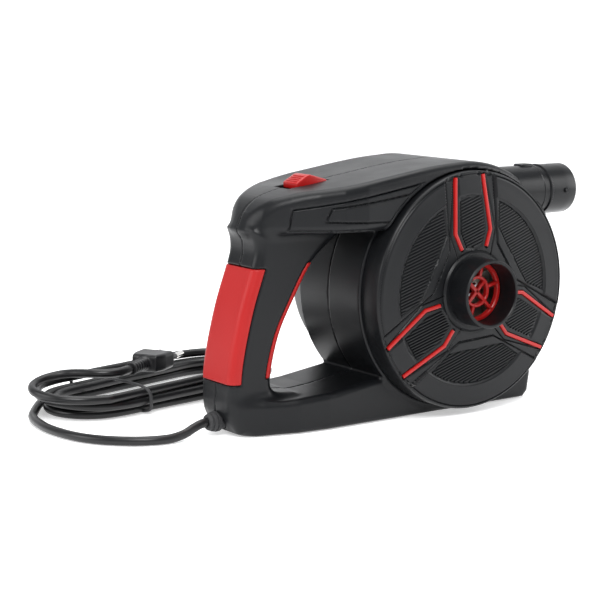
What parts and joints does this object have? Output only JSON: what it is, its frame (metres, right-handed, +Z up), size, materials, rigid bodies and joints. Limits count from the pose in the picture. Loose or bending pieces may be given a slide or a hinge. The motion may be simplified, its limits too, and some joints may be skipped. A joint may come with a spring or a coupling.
{
  "type": "electric air mattress pump",
  "caption": "Hand-held mains pump for air beds: round volute with suction port, side outlet, loop handle with red grips, slide switch and tied lead.",
  "frame": {"origin": "on the floor, on the flat base, in the plane where the two shells meet and 30 mm behind the shaft's axis", "axes": "+X towards the outlet's mouth, -Y towards the disc cover and suction port, +Z up from the flat base"},
  "size_m": [0.3222, 0.2228, 0.153],
  "materials": {
    "shell": "fine spark-textured black ABS moulding",
    "cover": "black ABS moulding with ribbed sector panels",
    "accent": "satin red moulded plastic",
    "grip": "soft-touch red overmould",
    "seal": "closed-cell foam",
    "inner_black": "plain black moulding",
    "natural": "natural nylon moulding",
    "steel": "zinc plated or bright steel",
    "laminations": "stacked steel laminations",
    "copper": "enamelled copper winding",
    "bronze": "sintered bronze",
    "phenolic": "brown phenolic moulding",
    "carbon": "carbon graphite",
    "wire": "blue and brown PVC insulation",
    "lead": "black PVC sheath",
    "plug": "black moulded plug",
    "pin_metal": "nickel plated pins with insulated roots"
  },
  "bodies": {
    "root": {"near_shell": "shell", "far_shell": "shell", "volute_cover": "cover", "cover_seal": "seal", "accent_strips": "accent", "intake_grille": "accent", "volute_scroll": "inner_black", "volute_back_plate": "inner_black", "outlet_nozzle": "shell", "rear_cap": "shell", "front_bearing": "bronze", "rear_bearing": "bronze", "front_bracket": "steel", "rear_bracket": "steel", "stator_core": "laminations", "field_coils": "copper", "brush_holders": "phenolic", "carbon_brushes": "carbon", "brush_springs": "steel", "motor_screws": "steel", "switch_body": "inner_black", "rear_grip": "grip", "front_grip": "grip", "cord_grommet": "seal", "cord_clamp": "inner_black", "clamp_screws": "steel", "terminal_block": "natural", "inner_wires": "wire", "housing_screws": "steel", "cover_screws": "steel", "cap_screws": "steel", "mains_cord": "lead", "cord_hank": "lead", "cord_tie": "seal", "plug_body": "plug", "plug_pins": "pin_metal"},
    "rotor": {"impeller": "natural", "impeller_nut": "steel", "motor_shaft": "steel", "armature_core": "laminations", "armature_winding": "copper", "commutator": "copper", "cooling_fan": "natural"},
    "slider": {"switch_slider": "accent"}
  },
  "joints": [
    {"name": "rotor_spin", "type": "hinge", "parent": "root", "child": "rotor", "pos_m": [0.03, 0, 0.076], "axis": [0, 1, 0], "continuous": true},
    {"name": "switch_slide", "type": "slide", "parent": "root", "child": "slider", "axis": [0.9914, 0, 0.1305], "range_m": [-0.005, 0]}
  ]
}
